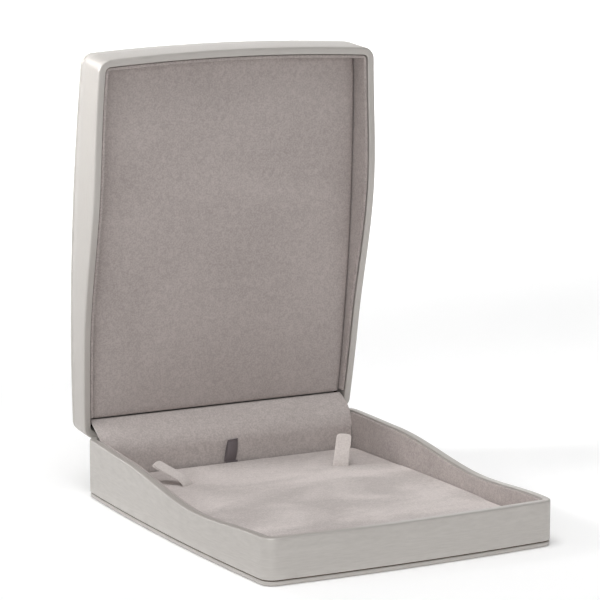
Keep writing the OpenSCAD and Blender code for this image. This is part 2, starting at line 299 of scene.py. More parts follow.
def haze_group():
    """Handling haze: wide soft clouds and fine specks of lint, for colour and roughness."""
    sizes = {"Vector": None, "Clouds": 14.0, "Specks": 420.0}
    bench, given = shader_group("handling_haze", sizes, ["Cloud", "Speck"])
    cloud = bench.noise(given["Vector"], given["Clouds"], 2.0, 0.5, 0.4)
    speck = bench.ranged(bench.noise(given["Vector"], given["Specks"], 1.0, 0.5), 0.7, 0.78)
    return bench.closed({"Cloud": bench.ranged(cloud, 0.3, 0.7), "Speck": speck})


GRAIN = strand_group()
NAP = nap_group()
EDGE_WEAR_AND_HIGHLIGHT = edge_wear_and_highlight_group()
HAZE = haze_group()


def rgb(red, green, blue):
    return (red, green, blue, 1.0)


class Finish(Bench):
    """A material with one Principled shader, whose constant sockets are set directly."""

    def __init__(self, name, **constants):
        self.material = bpy.data.materials.new(name)
        self.material.use_nodes = True
        super().__init__(self.material.node_tree)
        self.tree.nodes.clear()
        self.shader = self.node("ShaderNodeBsdfPrincipled")
        output = self.node("ShaderNodeOutputMaterial")
        self.tree.links.new(self.shader.outputs[0], output.inputs["Surface"])
        for label, value in constants.items():
            self.shader.inputs[label.replace("_", " ")].default_value = value
        self.place = self.node("ShaderNodeTexCoord").outputs["Object"]

    def group(self, tree, vector, **values):
        made = self.node("ShaderNodeGroup", node_tree=tree)
        self.feed(made.inputs["Vector"], vector)
        for label, value in values.items():
            made.inputs[label].default_value = value
        return made.outputs

    def along_wrap(self):
        return self.node("ShaderNodeUVMap", uv_map="run").outputs["UV"]

    def bump(self, height, distance, strength=1.0):
        made = self.node("ShaderNodeBump", {"Height": height, "Distance": distance})
        made.inputs["Strength"].default_value = strength
        self.feed(self.shader.inputs["Normal"], made.outputs["Normal"])

    def coloured(self, factor, first, second):
        self.feed(self.shader.inputs["Base Color"], self.mix(factor, first, second))

    def rough(self, value, low, high):
        self.feed(self.shader.inputs["Roughness"], self.ranged(value, 0.0, 1.0, low, high))


def leatherette(name, pale, deep, worn_and_highlit):
    """Satin silver-grey covering with fine strands along the strip; its edges show wear and a painted
    highlight.
    """
    finish = Finish(name, Metallic=0.35, Specular_IOR_Level=0.4, Coat_Weight=0.06, Coat_Roughness=0.35)
    run = finish.along_wrap()
    grain = finish.group(GRAIN, run, Along=120.0, Across=4200.0, Tooth=0.4)
    haze = finish.group(HAZE, finish.place, Clouds=11.0, Specks=380.0)
    wear_and_highlight = finish.group(EDGE_WEAR_AND_HIGHLIGHT, finish.place, Amount=0.85)
    shade = finish.ranged(grain["Tone"], 0.3, 0.7)
    cloudy = finish.math("MULTIPLY_ADD", finish.minus(haze["Cloud"], 0.5), 0.3, shade)
    body = finish.mix(finish.math("MAXIMUM", cloudy, 0.0), deep, pale)
    # The edges take the light third colour: partly wear, partly a painted highlight along the rims.
    finish.coloured(wear_and_highlight["Mask"], body, worn_and_highlit)
    finish.rough(cloudy, 0.44, 0.36)
    finish.bump(grain["Height"], 0.00003, 0.45)
    return finish.material


def suede(name, pale, deep, patches, brush=26.0, stretch=0.45, depth=0.00016):
    """Short nap whose brushed patches lie the other way and look lighter or darker."""
    finish = Finish(name, Specular_IOR_Level=0.12, Sheen_Weight=0.28, Sheen_Roughness=0.55)
    nap = finish.group(NAP, finish.place, Brush=brush, Stretch=stretch, Patches=patches)
    haze = finish.group(HAZE, finish.place, Clouds=22.0, Specks=300.0)
    toned = finish.mix(nap["Tone"], deep, pale)
    lint = finish.times(haze["Speck"], 0.05)
    finish.coloured(lint, toned, rgb(0.8, 0.77, 0.75))
    finish.rough(nap["Patch"], 0.96, 0.88)
    finish.bump(nap["Height"], depth, 0.8)
    return finish.material


def satin(name):
    """Ribbon satin: close ribs across the ribbon and a soft shine along it."""
    finish = Finish(name, Specular_IOR_Level=0.5, Sheen_Weight=0.3, Sheen_Roughness=0.35,
                    Anisotropic=0.5)
    run = finish.along_wrap()
    grain = finish.group(GRAIN, run, Along=500.0, Across=5200.0, Tooth=0.2)
    wave = finish.node("ShaderNodeTexWave", {"Vector": run, "Scale": 900.0, "Distortion": 0.6})
    wave.bands_direction = "X"
    ribs = finish.math("MULTIPLY_ADD", wave.outputs["Fac"], 0.5, grain["Height"])
    finish.coloured(grain["Tone"], rgb(0.1, 0.083, 0.087), rgb(0.22, 0.19, 0.2))
    finish.rough(finish.ranged(grain["Tone"], 0.3, 0.7), 0.42, 0.3)
    finish.bump(ribs, 0.00006, 0.8)
    return finish.material


def metal(name, pale, deep, rough):
    """Rolled or drawn metal with fine draw lines and a little tarnish."""
    finish = Finish(name, Metallic=1.0, Specular_IOR_Level=0.5)
    grain = finish.group(GRAIN, finish.place, Along=90.0, Across=4200.0, Tooth=0.3)
    haze = finish.group(HAZE, finish.place, Clouds=60.0, Specks=900.0)
    body = finish.mix(grain["Tone"], deep, pale)
    stained = finish.times(haze["Cloud"], 0.35)
    finish.coloured(stained, body, deep)
    finish.rough(haze["Cloud"], rough, rough + 0.14)
    finish.bump(grain["Height"], 0.00002, 0.5)
    return finish.material


def groove_shaded_board(name):
    """Raw fibreboard of the walls, seen only in the grooves; its own brown is darkened as painted groove
    shade.
    """
    finish = Finish(name, Specular_IOR_Level=0.25)
    squeeze = {0: finish.place, 1: (1.0, 0.35, 1.0)}
    long_grain = finish.node("ShaderNodeVectorMath", squeeze, operation="MULTIPLY")
    grain = finish.group(GRAIN, long_grain.outputs[0], Along=160.0, Across=1100.0, Tooth=0.6)
    haze = finish.group(HAZE, finish.place, Clouds=40.0, Specks=500.0)
    # Dark browns: partly the board's own colour, partly painted shade for the grooves.
    body = finish.mix(grain["Tone"], rgb(0.07, 0.055, 0.04), rgb(0.16, 0.12, 0.085))
    finish.coloured(haze["Speck"], body, rgb(0.3, 0.25, 0.19))
    finish.rough(haze["Cloud"], 0.8, 0.95)
    finish.bump(grain["Height"], 0.00015)
    return finish.material


def card(name):
    """Grey-brown card with flecks of fibre."""
    finish = Finish(name, Specular_IOR_Level=0.2)
    nap = finish.group(NAP, finish.place, Fibre=900.0, Mottle=300.0, Patches=0.2)
    haze = finish.group(HAZE, finish.place, Clouds=30.0, Specks=650.0)
    body = finish.mix(nap["Tone"], rgb(0.3, 0.25, 0.19), rgb(0.46, 0.4, 0.32))
    finish.coloured(haze["Speck"], body, rgb(0.14, 0.11, 0.08))
    finish.rough(nap["Tone"], 0.92, 0.8)
    finish.bump(nap["Height"], 0.00012)
    return finish.material


def foam(name):
    """Open-cell foam."""
    finish = Finish(name, Specular_IOR_Level=0.15)
    cells = finish.node("ShaderNodeTexVoronoi", {"Vector": finish.place, "Scale": 1400.0})
    pits = cells.outputs["Distance"]
    haze = finish.group(HAZE, finish.place, Clouds=25.0, Specks=400.0)
    body = finish.mix(pits, rgb(0.5, 0.46, 0.36), rgb(0.8, 0.77, 0.68))
    finish.coloured(haze["Cloud"], body, rgb(0.7, 0.66, 0.55))
    finish.rough(pits, 0.98, 0.85)
    finish.bump(pits, 0.0004)
    return finish.material


# The third colour is for the rubbed edges: partly wear, partly a painted highlight.
WRAP = leatherette("leatherette", rgb(0.525, 0.498, 0.47), rgb(0.473, 0.448, 0.422),
                   rgb(0.78, 0.755, 0.725))
LINING = suede("lining_suede", rgb(0.485, 0.427, 0.407), rgb(0.29, 0.253, 0.24), 0.25)
PANEL = suede("panel_suede", rgb(0.52, 0.462, 0.443), rgb(0.34, 0.298, 0.283), 0.3, 18.0, 0.8)
PAD = suede("pad_suede", rgb(0.66, 0.598, 0.574), rgb(0.42, 0.375, 0.358), 1.2, 24.0, 0.6)
COVER = suede("cover_suede", rgb(0.62, 0.56, 0.538), rgb(0.4, 0.358, 0.342), 0.3)
TAB = suede("tab_suede", rgb(0.68, 0.63, 0.6), rgb(0.52, 0.47, 0.45), 0.1, 80.0, 1.0, 0.00012)
RIBBON = satin("ribbon_satin")
STEEL = metal("hinge_steel", rgb(0.62, 0.62, 0.63), rgb(0.4, 0.4, 0.41), 0.26)
BRASS = metal("brad_brass", rgb(0.72, 0.56, 0.28), rgb(0.5, 0.37, 0.17), 0.28)
# The frame's dark brown is partly painted shade for the grooves.
WOOD_AND_GROOVE_SHADE = groove_shaded_board("frame_wood")
CARD = card("board_card")
FOAM = foam("foam")


# Plan of the case


def arc(centre, radius, start, end, count):
    turns = np.radians(np.linspace(start, end, count, endpoint=False))
    return np.column_stack([centre[0] + radius * np.cos(turns), centre[1] + radius * np.sin(turns)])


def toward(a, b):
    return math.degrees(math.atan2(b[1] - a[1], b[0] - a[0]))


def front_corner_centre(side, side_r, front, front_r):
    """Where two circles cross, to the right and in front."""
    gap = front - side
    reach = float(np.hypot(*gap))
    unit = gap / reach
    along = (side_r ** 2 - front_r ** 2 + reach ** 2) / (2 * reach)
    off = math.sqrt(side_r ** 2 - along ** 2)
    return side + along * unit + off * np.array([unit[1], -unit[0]])


def case_plan(inset, back_inset):
    """Closed plan of the case, set in from its outside, from the back right corner round the front."""
    r = max(CORNER_R - inset, TIGHT_R)
    side = np.array([CASE_W / 2 - SIDE_R, 0.0])
    front = np.array([0.0, FRONT_R - CASE_D / 2])
    rs, rf, yb = SIDE_R - inset, FRONT_R - inset, BACK_Y - back_inset
    back_corner = np.array([side[0] + math.sqrt((rs - r) ** 2 - (yb - r) ** 2), yb - r])
    front_corner = front_corner_centre(side, rs - r, front, rf - r)
    a_back = toward(side, back_corner)
    a_side = toward(side, front_corner)
    a_front = toward(front, front_corner)
    half = np.vstack([
        arc(back_corner, r, 90, a_back, 10),
        arc(side, rs, a_back, a_side, 84),
        arc(front_corner, r, a_side, a_front, 10),
        arc(front, rf, a_front, -90, 30),
    ])
    middle = np.array([[0.0, front[1] - rf]])
    left = half[::-1] * [-1, 1]
    back_x = np.linspace(-back_corner[0], back_corner[0], 26)[1:-1]
    back = np.column_stack([back_x, np.full(len(back_x), yb)])
    return np.vstack([half, middle, left, back])


def unit_rows(rows):
    return rows / np.linalg.norm(rows, axis=1)[:, None]


def running(path):
    """The distance along a line at each of its points."""
    return np.concatenate([[0], np.cumsum(np.linalg.norm(np.diff(path, axis=0), axis=1))])


def bezier(points, count):
    p = np.array(points, float)
    t = np.linspace(0, 1, count)[:, None]
    u = 1 - t
    return u ** 3 * p[0] + 3 * u * u * t * p[1] + 3 * u * t * t * p[2] + t ** 3 * p[3]


def inward_normals(points):
    along = unit_rows(np.roll(points, -1, axis=0) - np.roll(points, 1, axis=0))
    return np.column_stack([along[:, 1], -along[:, 0]])


OUTSIDE = case_plan(0.0, 0.0)
INWARD = inward_normals(OUTSIDE)


def plan_stretch(keep, further=0):
    """The run of plan points that a test keeps, and some further ones, with their inward normals."""
    kept = np.array([keep(x, y) for x, y in OUTSIDE])
    first = next(i for i in range(len(kept)) if kept[i] and not kept[i - 1]) - further
    order = [(first + k) % len(kept) for k in range(int(kept.sum()) + 2 * further)]
    return OUTSIDE[order], INWARD[order]


# Meshes


def new_object(name, mesh):
    obj = bpy.data.objects.new(name, mesh)
    bpy.context.scene.collection.objects.link(obj)
    return obj


def object_from(name, verts, faces):
    mesh = bpy.data.meshes.new(name)
    mesh.from_pydata([tuple(map(float, v)) for v in verts], [], faces)
    mesh.update()
    return new_object(name, mesh)


def outward(obj):
    """Turns the faces of a closed mesh outwards."""
    shell = bmesh.new()
    shell.from_mesh(obj.data)
    bmesh.ops.recalc_face_normals(shell, faces=shell.faces)
    shell.to_mesh(obj.data)
    shell.free()


def shaded(obj, sharp=40.0):
    """Smooth faces, with edges steeper than the angle kept sharp."""
    obj.data.shade_smooth()
    obj.data.set_sharp_from_angle(angle=math.radians(sharp))


def settled(obj):
    """Applies the modifiers, so that the mesh is final."""
    bpy.context.view_layer.update()
    evaluated = obj.evaluated_get(bpy.context.evaluated_depsgraph_get())
    mesh = bpy.data.meshes.new_from_object(evaluated)
    obj.modifiers.clear()
    obj.data = mesh
    return obj


def subdivided(obj, levels):
    finer = obj.modifiers.new("finer", "SUBSURF")
    finer.levels = levels
    finer.render_levels = levels
    return settled(obj)


def swept(name, path, inward, profile, closed_path, closed_profile):
    """A skin along a plan path. A profile row is (inset, height, lift): lift is its share of the wave."""
    rows, cols = len(path), len(profile)
    verts = [
        (x + nx * t, y + ny * t, z)
        for (x, y), (nx, ny) in zip(path, inward)
        for t, z, _ in profile
    ]
    spans = rows if closed_path else rows - 1
    bands = cols if closed_profile else cols - 1
    faces = []
    for i in range(spans):
        for j in range(bands):
            a, b = i * cols, ((i + 1) % rows) * cols
            k = (j + 1) % cols
            faces.append((a + j, b + j, b + k, a + k))
    steps = np.linalg.norm(np.roll(path, -1, axis=0) - path, axis=1)
    run = np.concatenate([[0], np.cumsum(steps)])
    sides = np.array([(t, z) for t, z, _ in profile])
    heights = np.linalg.norm(np.roll(sides, -1, axis=0) - sides, axis=1)
    rise = np.concatenate([[0], np.cumsum(heights)])
    corners = [
        (run[i + di], rise[j + dj])
        for i in range(spans)
        for j in range(bands)
        for di, dj in ((0, 0), (1, 0), (1, 1), (0, 1))
    ]
    caps = []
    if closed_profile and not closed_path:
        caps = [tuple(range(cols)), tuple(range((rows - 1) * cols, rows * cols))]
        corners += [(t, z) for t, z in sides] * 2
    if closed_path and not closed_profile:
        caps = [tuple(i * cols + j for i in range(rows)) for j in (0, cols - 1)]
        corners += [(verts[v][0], verts[v][1]) for cap in caps for v in cap]
    obj = object_from(name, verts, faces + caps)
    layer = obj.data.uv_layers.new(name="run")
    layer.data.foreach_set("uv", (np.array(corners, np.float32) * MM).ravel())
    share = obj.data.attributes.new("lift", "FLOAT", "POINT")
    share.data.foreach_set("value", [row[2] for _ in range(rows) for row in profile])
    outward(obj)
    return obj


# The rim's wave, as a rule that every wall and lining follows


def wave_step(bench, place, ends, levels, slopes):
    """What one smooth span adds to the rim's height at a place along the side."""
    t = bench.ranged(place, ends[0], ends[1])
    square = bench.times(t, t)
    cube = bench.times(square, t)
    smooth = bench.math("MULTIPLY_ADD", cube, -2.0, bench.times(square, 3.0))
    rise = bench.times(bench.minus(levels[1], levels[0]), smooth)
    width = bench.minus(ends[1], ends[0])
    leaving = bench.plus(bench.math("MULTIPLY_ADD", square, -2.0, cube), t)
    arriving = bench.minus(cube, square)
    lean = bench.math("MULTIPLY_ADD", leaving, slopes[0], bench.times(arriving, slopes[1]))
    return bench.math("MULTIPLY_ADD", width, lean, rise)


def painted_end(bench, shape, finish):
    """Every tree's end: real instances with their finish."""
    real = bench.node("GeometryNodeRealizeInstances", {0: shape})
    painted = bench.node("GeometryNodeSetMaterial", {"Geometry": real.outputs[0], "Material": finish})
    return bench.closed({0: painted.outputs[0]})


def shape_group(name, shape, sizes):
    """A geometry tree with its sockets; returns its bench and its inputs."""
    tree = bpy.data.node_groups.new(name, "GeometryNodeTree")
    socket_in(tree, shape, "NodeSocketGeometry")
    for label, value in sizes.items():
        socket_in(tree, label, "NodeSocketInt" if label == "Count" else FLOAT, value)
    socket_in(tree, "Finish", "NodeSocketMaterial")
    socket_out(tree, shape, "NodeSocketGeometry")
    bench = Bench(tree)
    return bench, bench.node("NodeGroupInput").outputs


def wave_tree():
    """Geometry nodes that lift each point by its share of the rim's wave."""
    bench, given = shape_group("rim_wave", "Strip", RIM_WAVE)
    place = bench.node("GeometryNodeInputPosition").outputs[0]
    y = bench.node("ShaderNodeSeparateXYZ", {0: place}).outputs[1]
    stops = ["Front", "Dip", "Shoulder", "Back"]
    slopes = [0.0, 0.0, SHOULDER_SLOPE, BACK_SLOPE]
    height = given["Front Height"]
    for i in range(3):
        ends = [given[stops[i] + " Place"], given[stops[i + 1] + " Place"]]
        levels = [given[stops[i] + " Height"], given[stops[i + 1] + " Height"]]
        height = bench.plus(height, wave_step(bench, y, ends, levels, slopes[i:i + 2]))
    lift = bench.node("GeometryNodeInputNamedAttribute", {"Name": "lift"}, data_type="FLOAT")
    raised = bench.times(height, lift.outputs["Attribute"])
    offset = bench.node("ShaderNodeCombineXYZ", {2: raised})
    moved = bench.node("GeometryNodeSetPosition", {"Geometry": given["Strip"]})
    bench.feed(moved.inputs["Offset"], offset.outputs[0])
    return painted_end(bench, moved.outputs[0], given["Finish"])


def brad_tree():
    """Geometry nodes for a row of round brads along the hinge, with domed heads facing outwards."""
    bench, given = shape_group("brad_row", "Row", BRAD_SIZES)
    sizes = {"Vertices": 20, "Radius": given["Shank Radius"], "Depth": given["Length"]}
    shank = bench.node("GeometryNodeMeshCylinder", sizes)
    dome = bench.node("GeometryNodeMeshUVSphere", {"Segments": 20, "Rings": 8, "Radius": 1.0})
    flat = bench.node("ShaderNodeCombineXYZ", {0: given["Head Radius"], 1: given["Head Radius"]})
    bench.feed(flat.inputs[2], given["Head Height"])
    seat = bench.node("ShaderNodeCombineXYZ", {2: bench.times(given["Length"], -0.5)})
    head = bench.node("GeometryNodeTransform", {"Geometry": dome.outputs["Mesh"]})
    bench.feed(head.inputs["Scale"], flat.outputs[0])
    bench.feed(head.inputs["Translation"], seat.outputs[0])
    brad = bench.node("GeometryNodeJoinGeometry")
    bench.tree.links.new(shank.outputs["Mesh"], brad.inputs[0])
    bench.tree.links.new(head.outputs[0], brad.inputs[0])
    reach = bench.times(given["Spacing"], bench.minus(given["Count"], 1.0))
    start = bench.node("ShaderNodeCombineXYZ", {0: bench.times(reach, -0.5)})
    step = bench.node("ShaderNodeCombineXYZ", {0: given["Spacing"]})
    row = bench.node("GeometryNodeMeshLine", {"Count": given["Count"]})
    bench.feed(row.inputs["Start Location"], start.outputs[0])
    bench.feed(row.inputs["Offset"], step.outputs[0])
    points = {"Points": row.outputs[0], "Instance": brad.outputs[0]}
    placed = bench.node("GeometryNodeInstanceOnPoints", points)
    placed.inputs["Rotation"].default_value = (math.radians(90), 0, 0)
    return painted_end(bench, placed.outputs[0], given["Finish"])


def grown(obj, tree, finish):
    """Runs a tree on a piece with this finish and keeps the result as its mesh."""
    modifier = obj.modifiers.new(tree.name, "NODES")
    modifier.node_group = tree
    for item in tree.interface.items_tree:
        if item.item_type == "SOCKET" and item.in_out == "INPUT" and item.name == "Finish":
            modifier[item.identifier] = finish
    return settled(obj)


WAVE = wave_tree()
BRADS = brad_tree()


# Finishing a piece


def placed(obj, body, nodes, slot, material=None, sharp=40.0):
    """Opens a lid piece, scales it to metres, gives it its finish and hands it to its body."""
    if body == "lid":
        obj.data.transform(OPENED)
    obj.data.transform(TO_METRES)
    if material is not None:
        obj.data.materials.clear()
        obj.data.materials.append(material)
    shaded(obj, sharp)
    if body is not None:
        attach(obj, body)
    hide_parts(*nodes)
    return obj


def without(obj, cutters):
    """Cuts solids out of a piece and removes them."""
    for cutter in cutters:
        cut = obj.modifiers.new("room", "BOOLEAN")
        cut.operation = "DIFFERENCE"
        cut.solver = "EXACT"
        cut.object = cutter
    settled(obj)
    for cutter in cutters:
        bpy.data.objects.remove(cutter)
    return obj


def leaf_room(top):
    """A block that leaves room for a hinge leaf, from the hinge line up to this height."""
    x = HINGE_LEN / 2 + LEAF_GAP
    ys = (LEAF_Y0 - LEAF_GAP, LEAF_Y0 + LEAF_T + LEAF_GAP)
    verts = [(x * s, y, z) for s in (-1, 1) for y in ys for z in (HINGE_Z, top)]
    faces = [(0, 1, 3, 2), (4, 6, 7, 5), (0, 4, 5, 1), (2, 3, 7, 6), (0, 2, 6, 4), (1, 5, 7, 3)]
    return object_from("cutter", verts, faces)


def hinge_room():
    """A round bar along the hinge line, that leaves room for the knuckles."""
    count = 40
    turns = np.linspace(0, 2 * math.pi, count, endpoint=False)
    x = (HINGE_LEN + 1) / 2
    verts = [
        (s * x, BACK_Y + HINGE_ROOM_R * math.cos(a), HINGE_Z + HINGE_ROOM_R * math.sin(a))
        for s in (-1, 1)
        for a in turns
    ]
    faces = [(i, (i + 1) % count, count + (i + 1) % count, count + i) for i in range(count)]
    faces += [tuple(range(count))[::-1], tuple(range(count, 2 * count))]
    return object_from("cutter", verts, faces)


# Walls and boards


def rim_arc(centre_t, centre_d, radius, start, end, count):
    """Points of a rounded edge as (inset, depth below the rim)."""
    return [
        (centre_t + radius * math.cos(a), centre_d - radius * math.sin(a))
        for a in np.radians(np.linspace(start, end, count))
    ]


def wrap_profile(foot, rim, down):
    """The covering's section: outer wall, rounded rim and turn-in. Down is -1 in the base, 1 in the lid."""
    outer_r, inner_r = 0.95, 0.4
    edge = rim_arc(outer_r, outer_r, outer_r, 180, 90, 7)
    edge += rim_arc(WALL_T - inner_r, inner_r, inner_r, 90, 0, 5)
    edge += [(WALL_T, TURN_IN), (WALL_T - WRAP_T, TURN_IN)]
    edge += [(WALL_T - WRAP_T, 1.2), (WALL_T - 1.0, WRAP_T), (1.25, WRAP_T), (WRAP_T, 1.3)]
    rows = [(t, rim + down * d, 1.0) for t, d in edge]
    wall = [(0.0, (1 - s) * (foot - down * 0.35) + s * (rim + down * 2.2), s) for s in (0.0, 0.3, 0.65)]
    return [(WRAP_T, foot, 0.0), (0.22, foot, 0.0)] + wall + rows


def covering(body, foot, rim, down, cutters):
    """The covering of the base or of the lid, with room cut in it for the hinge."""
    profile = wrap_profile(foot, rim, down)
    obj = swept(body + "_covering", OUTSIDE, INWARD, profile, True, True)
    grown(obj, WAVE, WRAP)
    without(obj, cutters)
    return placed(obj, body, [body + "_wrap"], "wrap")


def covered_board(body, z0, z1, low, high):
    """A covered board, closed above and below, with these radii on its low and high edges."""
    rows = [(4.0, z0), (2.6, z0)]
    rows += [(BOARD_INSET + low - low * math.cos(a), z0 + low - low * math.sin(a))
             for a in np.radians([90, 60, 30, 0])]
    rows += [(BOARD_INSET + high - high * math.cos(a), z1 - high + high * math.sin(a))
             for a in np.radians([0, 18, 36, 54, 72, 90])]
    rows += [(2.6, z1), (4.0, z1)]
    profile = [(t, z, 0.0) for t, z in rows]
    obj = swept(body + "_cover_board", OUTSIDE, INWARD, profile, True, False)
    return placed(obj, body, [body + "_board"], "wrap", WRAP)


def lining_strip(body, part, path, inward, foot, rim, down):
    """A suede-covered strip with a soft rounded top edge."""
    r = 0.5
    edge = rim_arc(LINING_IN + r, r, r, 180, 90, 5) + rim_arc(LINING_OUT - r, r, r, 90, 0, 5)
    rows = [(t, rim + down * d, 1.0) for t, d in edge]
    profile = [(LINING_IN, foot, 0.0)] + rows + [(LINING_OUT, foot, 0.0)]
    obj = swept(f"{body}_side_{part}", path, inward, profile, False, True)
    grown(obj, WAVE, LINING)
    return placed(obj, body, [f"{body}_lining_{part}"], "lining_suede")


def linings(body, end_y, foot, rim, down):
    """Left, right and front linings of the base or of the lid."""
    parts = {
        "left": lambda x, y: x < 0 and LINING_JOINT_Y < y < end_y,
        "right": lambda x, y: x > 0 and LINING_JOINT_Y < y < end_y,
        "front": lambda x, y: y <= LINING_JOINT_Y,
    }
    for part, keep in parts.items():
        path, inward = plan_stretch(keep, 1 if part == "front" else 0)
        lining_strip(body, part, path, inward, foot, rim, down)


# Padded pieces


def soft_slab(name, back_inset, z0, z1):
    """A closed slab on the case's plan, remeshed so that cloth can swell it."""
    plan = case_plan(PAD_IN, back_inset)
    count = len(plan)
    verts = [(x, y, z) for z in (z0, z1) for x, y in plan]
    sides = [(i, (i + 1) % count, count + (i + 1) % count, count + i) for i in range(count)]
    caps = [tuple(range(count)), tuple(range(count, 2 * count))]
    obj = object_from(name, verts, sides + caps)
    outward(obj)
    obj.data.transform(TO_METRES)
    remesh = obj.modifiers.new("even", "REMESH")
    remesh.mode = "VOXEL"
    remesh.voxel_size = CLOTH_GRID * MM
    return settled(obj)


def coordinates(mesh):
    co = np.zeros(len(mesh.vertices) * 3, np.float32)
    mesh.vertices.foreach_get("co", co)
    return co.reshape(-1, 3).astype(float)


def moved_to(obj, co):
    obj.data.vertices.foreach_set("co", co.astype(np.float32).ravel())
    return obj


def edge_distance(co, back_inset):
    """How far inside a cushion's plan each point lies, in millimetres."""
    x, y = np.abs(co[:, 0]) / MM, co[:, 1] / MM
    side = SIDE_R - PAD_IN - np.hypot(x - (CASE_W / 2 - SIDE_R), y)
    front = FRONT_R - PAD_IN - np.hypot(x, y - (FRONT_R - CASE_D / 2))
    return np.minimum(np.minimum(side, front), BACK_Y - back_inset - y)


def swollen(obj, held):
    """Swells a closed mesh with pressurised cloth, its edges held and no point moving past the cap."""
    before = coordinates(obj.data)
    pinned = obj.vertex_groups.new(name="held")
    for index in np.flatnonzero(held):
        pinned.add([int(index)], 1.0, "REPLACE")
    cloth = obj.modifiers.new("swell", "CLOTH").settings
    cloth.vertex_group_mass = "held"
    cloth.use_pressure = True
    cloth.uniform_pressure_force = 2.5
    cloth.quality = 5
    cloth.mass = 0.15
    cloth.tension_stiffness = 18
    cloth.compression_stiffness = 18
    cloth.bending_stiffness = 1.5
    cloth.effector_weights.gravity = 0
    scene = bpy.context.scene
    for step in range(1, 21):
        scene.frame_set(step)
    settled(obj)
    after = coordinates(obj.data)
    moved = after - before
    length = np.linalg.norm(moved, axis=1)[:, None]
    scene.frame_set(1)
    return moved_to(obj, before + moved * np.minimum(1.0, MOST_SWELL * MM / np.maximum(length, 1e-9)))


def smoothed(obj):
    relax = obj.modifiers.new("relax", "SMOOTH")
    relax.factor = 0.5
    relax.iterations = 2
    return subdivided(obj, 1)


def squared(obj, back_inset):
    """Draws the side skin out to just inside the plan, so that it clears the foam."""
    co = coordinates(obj.data)
    normals = np.array([vertex.normal[:] for vertex in obj.data.vertices])
    flat = np.linalg.norm(normals[:, :2], axis=1)
    share = np.clip((flat - 0.45) / 0.4, 0.0, 1.0)
    for _ in range(3):
        short = np.maximum(edge_distance(co, back_inset) - SKIN_GAP, 0.0) * share
        short = np.where(short < 2.0, short, 0.0)
        co[:, :2] += normals[:, :2] / np.maximum(flat, 0.01)[:, None] * (short * MM)[:, None]
    return moved_to(obj, co)


def cushion(name, back_inset, z0, z1, face):
    """A foam-filled pad under suede: straight sides, soft edges and a face swollen by cloth."""
    obj = soft_slab(name, back_inset, z0, z1)
    co = coordinates(obj.data)
    depth = (z1 * MM - co[:, 2]) / MM if face > 0 else (co[:, 2] - z0 * MM) / MM
    held = (edge_distance(co, back_inset) < HELD_EDGE) | (depth > HELD_DEPTH)
    swollen(obj, held)
    return squared(smoothed(obj), back_inset)


def dented(obj, centre, direction, half_length, reach, depth):
    """Presses the top skin in along a short slit."""
    co = coordinates(obj.data)
    rel = co[:, :2] / MM - np.array(centre)
    along = rel @ np.array(direction)
    across = rel @ np.array([-direction[1], direction[0]])
    past = np.maximum(np.abs(along) - half_length, 0.0)
    fall = np.exp(-(across ** 2 + past ** 2) / (2 * reach ** 2))
    on_top = co[:, 2] > (co[:, 2].min() + co[:, 2].max()) / 2
    co[:, 2] -= depth * MM * fall * on_top
    return moved_to(obj, co)


def suede_cased(obj, material, body, node):
    """Hands a finished cushion to its body."""
    obj.data.materials.append(material)
    shaded(obj, 180.0)
    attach(obj, body)
    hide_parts(node)
    return obj


def plan_way(degrees):
    turn = math.radians(degrees)
    return np.array([math.cos(turn), math.sin(turn), 0.0])


def tray_pad():
    """The loose suede pad, pulled in a little where the tabs pass through it."""
    obj = cushion("tray_pad", PAD_BACK, PAD_FOOT, PAD_TOP, 1)
    for side in (-1, 1):
        way = plan_way(-side * SLIT_TURN)[:2]
        dented(obj, (side * TAB_X, TAB_Y), way, 4.0, 1.6, SLIT_DENT)
    return suede_cased(obj, PAD, "pad", "pad_cover")


def lid_panel():
    """The padded panel inside the lid."""
    obj = cushion("lid_cushion", PANEL_BACK, PANEL_FACE, PANEL_FOOT, -1)
    obj.data.transform(TO_METRES @ OPENED @ TO_METRES.inverted())
    return suede_cased(obj, PANEL, "lid", "lid_panel_cover")


# Straps


def strap(name, path, across, thickness):
    """A flat strap along 3-D points, with a half-width vector at each, soft edges and closed ends."""
    path, across = np.array(path, float), np.array(across, float)
    along = unit_rows(np.gradient(path, axis=0))
    half = np.linalg.norm(across, axis=1)
    side = across / half[:, None]
    face = unit_rows(np.cross(side, along))
    h, soft = thickness / 2, thickness * 0.3
    verts = []
    for point, out, up, w in zip(path, side, face, half):
        ring = [(w - soft, h), (w, h - soft), (w, soft - h), (w - soft, -h)]
        ring += [(-x, d) for x, d in ring[::-1]]
        verts += [tuple(point + out * x + up * d) for x, d in ring]
    rows = len(path)
    faces = [
        (i * 8 + j, (i + 1) * 8 + j, (i + 1) * 8 + (j + 1) % 8, i * 8 + (j + 1) % 8)
        for i in range(rows - 1)
        for j in range(8)
    ]
    faces += [tuple(range(8)), tuple(range((rows - 1) * 8, rows * 8))]
    obj = object_from(name, verts, faces)
    steps = running(path)
    layer = obj.data.uv_layers.new(name="run")
    for loop in obj.data.loops:
        row, place = divmod(loop.vertex_index, 8)
        x = half[row] * (1 if place < 4 else -1)
        layer.data[loop.index].uv = (steps[row] * MM, x * MM)
    outward(obj)
    return obj


def joined(name, objects):
    """Joins pieces that are one piece in fact."""
    shell = bmesh.new()
    for part in objects:
        shell.from_mesh(part.data)
    mesh = bpy.data.meshes.new(name)
    shell.to_mesh(mesh)
    shell.free()
    for part in objects:
        bpy.data.objects.remove(part)
    return new_object(name, mesh)


def end_width(left, width, round_r):
    """Half width of a strap near its rounded end, where left is the length still to come."""
    if left >= round_r:
        return width / 2
    return width / 2 - round_r + math.sqrt(max(round_r ** 2 - (round_r - left) ** 2, 0.01))


